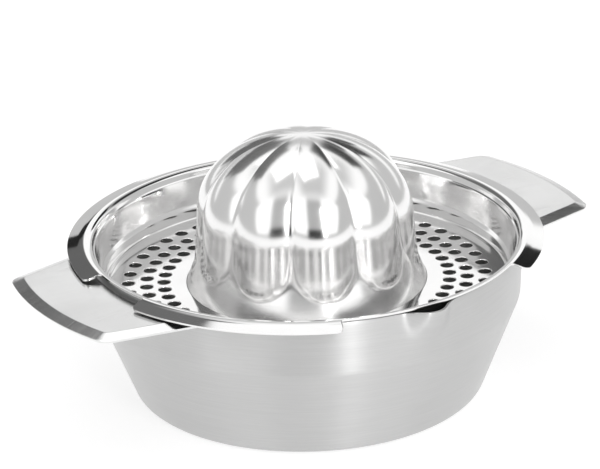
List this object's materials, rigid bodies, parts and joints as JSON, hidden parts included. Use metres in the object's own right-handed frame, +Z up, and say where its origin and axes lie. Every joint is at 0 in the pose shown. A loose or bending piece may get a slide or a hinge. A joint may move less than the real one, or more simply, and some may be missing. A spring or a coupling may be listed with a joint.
{
  "type": "citrus press juicer",
  "caption": "Hand citrus press in pressed steel: a juice bowl with wing handles and a pouring spout, and a lift-out insert with a strainer floor and a lobed reamer.",
  "frame": {"origin": "on the table surface, under the centre of the bowl's flat base", "axes": "+Z up; +X along the two handles, towards right_handle; the pouring spout faces -Y"},
  "size_m": [0.196, 0.1539, 0.087],
  "materials": {
    "satin_steel": "satin brushed stainless steel",
    "polished_steel": "mirror polished stainless steel"
  },
  "bodies": {
    "bowl": {"juice_bowl": "satin_steel", "left_handle": "satin_steel", "right_handle": "satin_steel"},
    "insert": {"seat_ring": "polished_steel", "strainer_plate": "polished_steel", "reamer_cone": "polished_steel"}
  },
  "joints": [
    {"name": "insert_lift", "type": "slide", "parent": "bowl", "child": "insert", "axis": [0, 0, 1], "range_m": [0, 0.06]}
  ]
}
